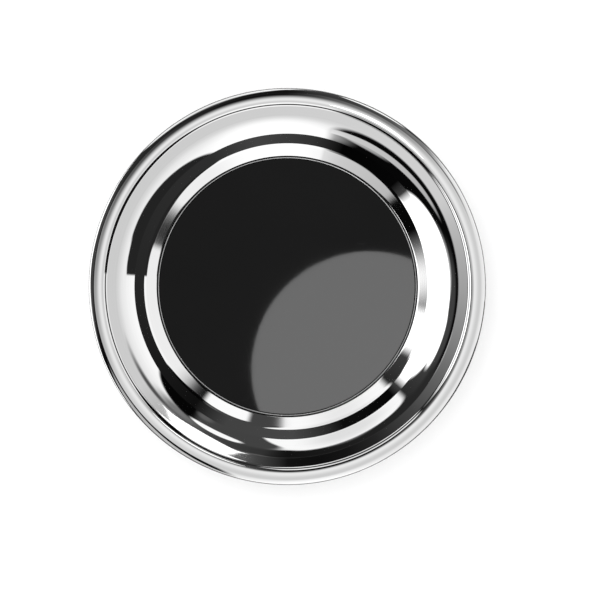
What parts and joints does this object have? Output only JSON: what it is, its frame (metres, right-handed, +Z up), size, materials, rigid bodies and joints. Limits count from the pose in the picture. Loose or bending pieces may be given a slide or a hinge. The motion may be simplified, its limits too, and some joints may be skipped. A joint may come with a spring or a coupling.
{
  "type": "parts sorting tray",
  "caption": "Round shallow polished steel parts tray with a rolled rim, stepped walls, a glossy black floor disc, and a magnet base in a rubber boot.",
  "frame": {"origin": "centre of the foot ring on the bench", "axes": "+Z up along the dish's axis of revolution, X and Y free"},
  "size_m": [0.108, 0.108, 0.0231],
  "materials": {
    "polished_steel": "mirror-polished stainless steel",
    "gloss_black": "high gloss black",
    "adhesive_film": "matte film",
    "zinc_steel": "bright zinc plated",
    "natural_nylon": "moulded, satin",
    "ferrite": "ground, dull",
    "black_rubber": "moulded, matte"
  },
  "bodies": {
    "root": {"dish": "polished_steel", "center_disc": "gloss_black", "disc_adhesive": "adhesive_film", "center_screw": "zinc_steel", "spacer_bush": "natural_nylon", "ring_magnet": "ferrite", "pole_plate": "zinc_steel", "flat_washer": "zinc_steel", "hex_nut": "zinc_steel", "rubber_boot": "black_rubber"}
  },
  "joints": []
}
